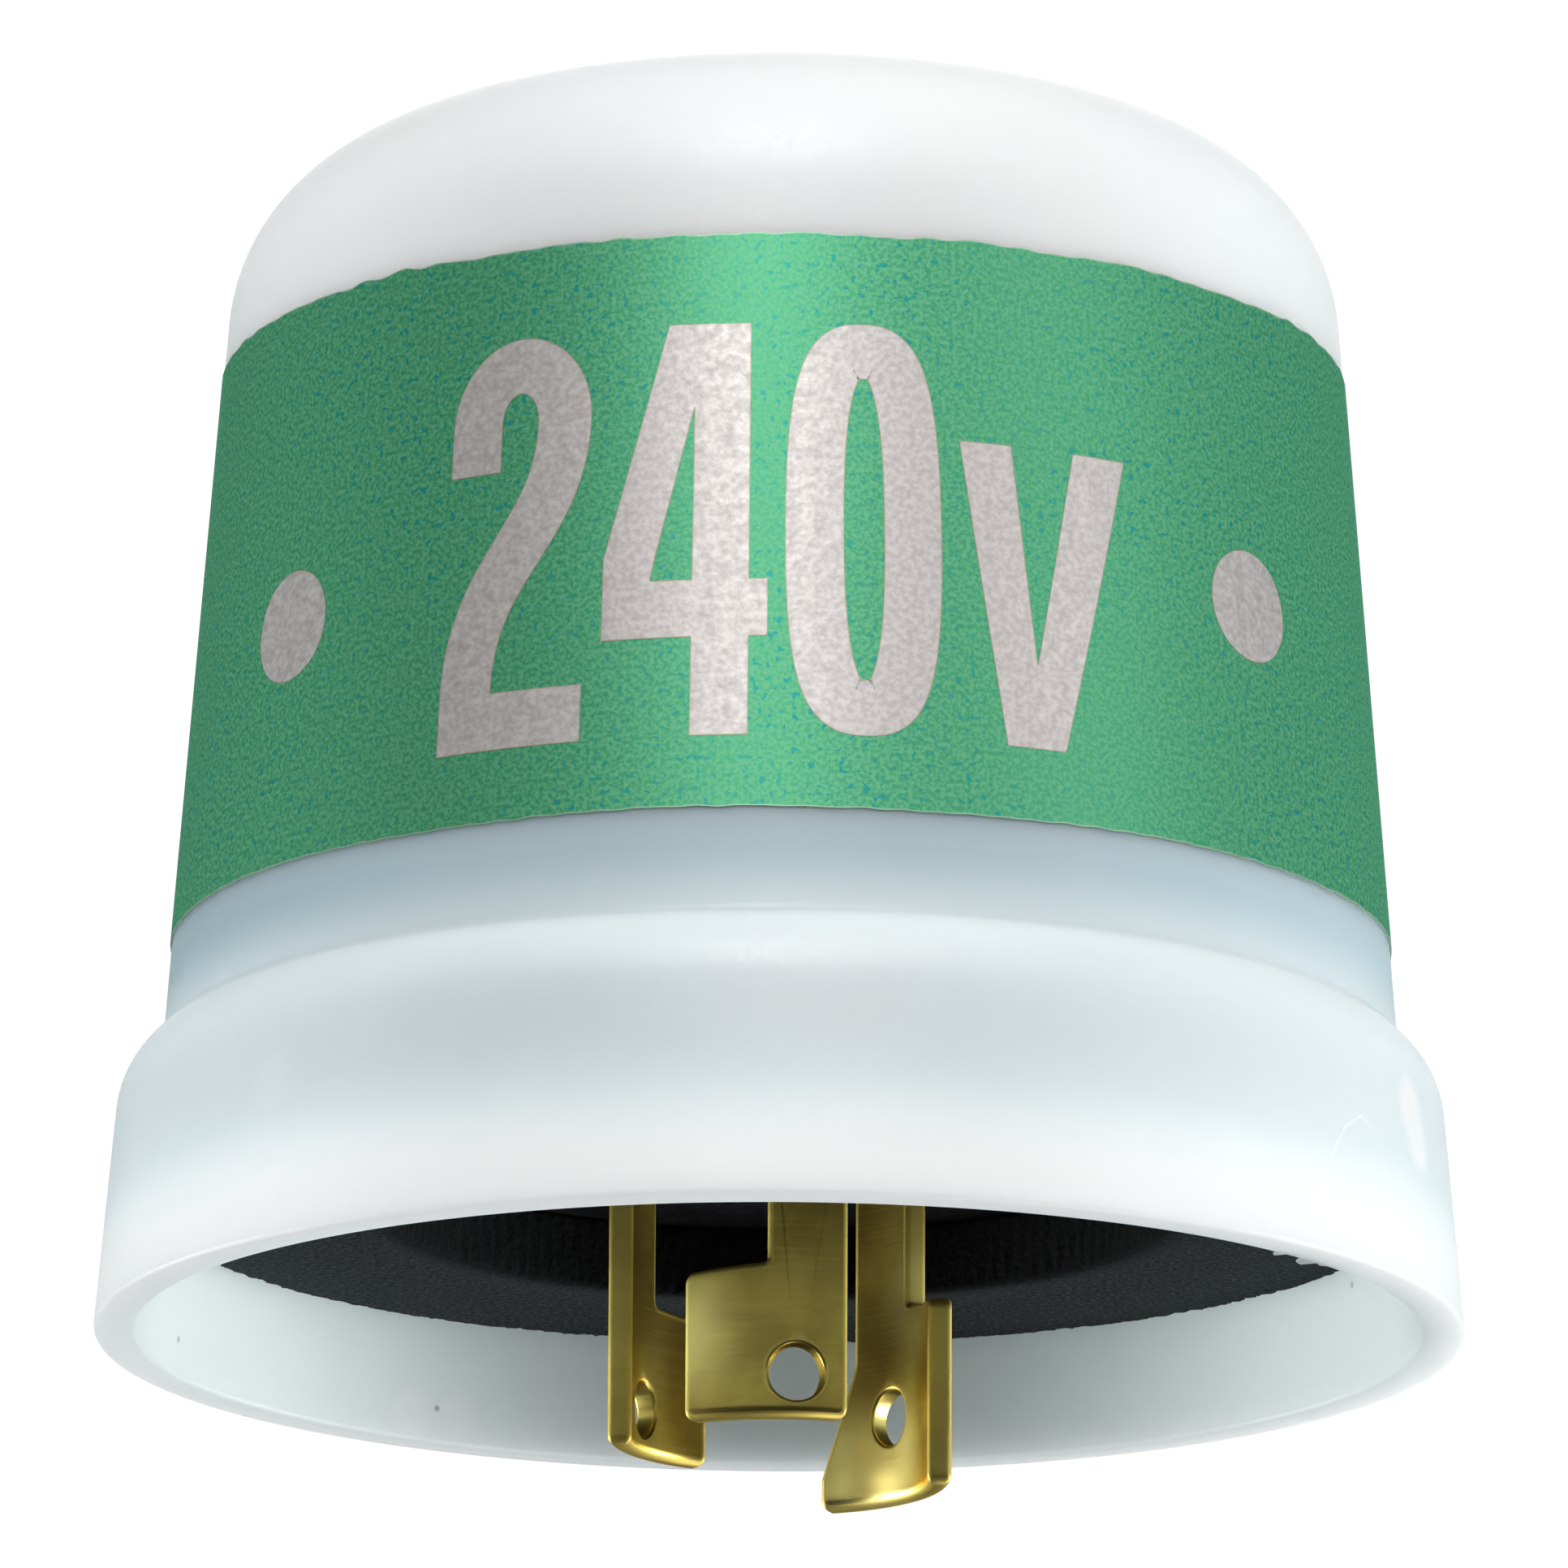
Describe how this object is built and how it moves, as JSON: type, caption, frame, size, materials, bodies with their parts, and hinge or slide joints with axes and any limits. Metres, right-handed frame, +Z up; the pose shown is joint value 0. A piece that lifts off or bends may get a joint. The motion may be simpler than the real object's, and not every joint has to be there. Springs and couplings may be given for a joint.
{
  "type": "photocell switch",
  "caption": "Plug-in photocell switch for outdoor lights: drafted plastic cover with a flared skirt, foil band, foam gasket and curved brass locking blades.",
  "frame": {"origin": "centre of the gasket's lower face, on the plug's axis", "axes": "+Z up along the plug's axis towards the cover's top, -Y towards the band's figure"},
  "size_m": [0.084, 0.084, 0.0846],
  "materials": {
    "cover_plastic": "satin",
    "band_foil": "satin",
    "foam": "matte",
    "base_plastic": "matte",
    "blade_brass": "satin",
    "rivet_brass": "satin",
    "strip_brass": "satin",
    "bimetal": "satin",
    "contact_silver": "polished",
    "heater_ceramic": "matte",
    "lead_wire": "satin",
    "cell_face": "gloss",
    "bridge_plastic": "matte",
    "screw_steel": "satin",
    "varistor_resin": "gloss",
    "solder": "satin"
  },
  "bodies": {
    "housing": {"cover": "cover_plastic", "label_band": "band_foil", "gasket": "foam", "base": "base_plastic", "line_blade": "blade_brass", "load_blade": "blade_brass", "neutral_blade": "blade_brass", "blade_rivets": "rivet_brass", "arm_post": "strip_brass", "contact_bracket": "strip_brass", "fixed_contact": "contact_silver", "heater": "heater_ceramic", "heater_leads": "lead_wire", "tie_post": "rivet_brass", "photocell": "cell_face", "photocell_leads": "lead_wire", "cell_bridge": "bridge_plastic", "bridge_screws": "screw_steel", "varistor": "varistor_resin", "varistor_leads": "lead_wire", "solder_joints": "solder"},
    "contact_arm": {"bimetal_arm": "bimetal", "moving_contact": "contact_silver"}
  },
  "joints": [
    {"name": "arm_flex", "type": "hinge", "parent": "housing", "child": "contact_arm", "pos_m": [0.0033, -0.02114, 0.0197], "axis": [0, 0, -1], "range_deg": [0, 1.8], "stiffness_Nm_per_rad": 0.02}
  ]
}
